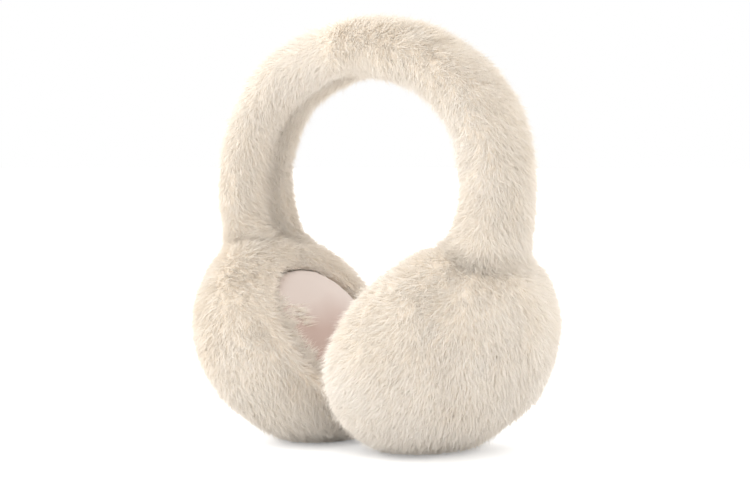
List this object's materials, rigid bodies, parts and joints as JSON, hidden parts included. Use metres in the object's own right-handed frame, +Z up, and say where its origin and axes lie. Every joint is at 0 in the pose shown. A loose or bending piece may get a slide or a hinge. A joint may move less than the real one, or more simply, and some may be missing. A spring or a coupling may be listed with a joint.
{
  "type": "fur earmuffs",
  "caption": "Padded fur headband bent to a C, with a round fur ear cup on each end and a soft velour ear pad sunk in each cup; stands on its two cups.",
  "frame": {"origin": "on the floor, in the middle of the footprint, midway between the two cups", "axes": "+Z up to the crown of the headband, +X to the right-hand cup as seen from the front, -Y to the front"},
  "size_m": [0.18, 0.1242, 0.2012],
  "materials": {
    "fur": "cream beige plush fur",
    "velour": "short pink velour"
  },
  "bodies": {
    "root": {"headband_fur": "fur", "ear_cup_fur_right": "fur", "ear_cup_fur_left": "fur", "ear_pad_right": "velour", "ear_pad_left": "velour"}
  },
  "joints": []
}
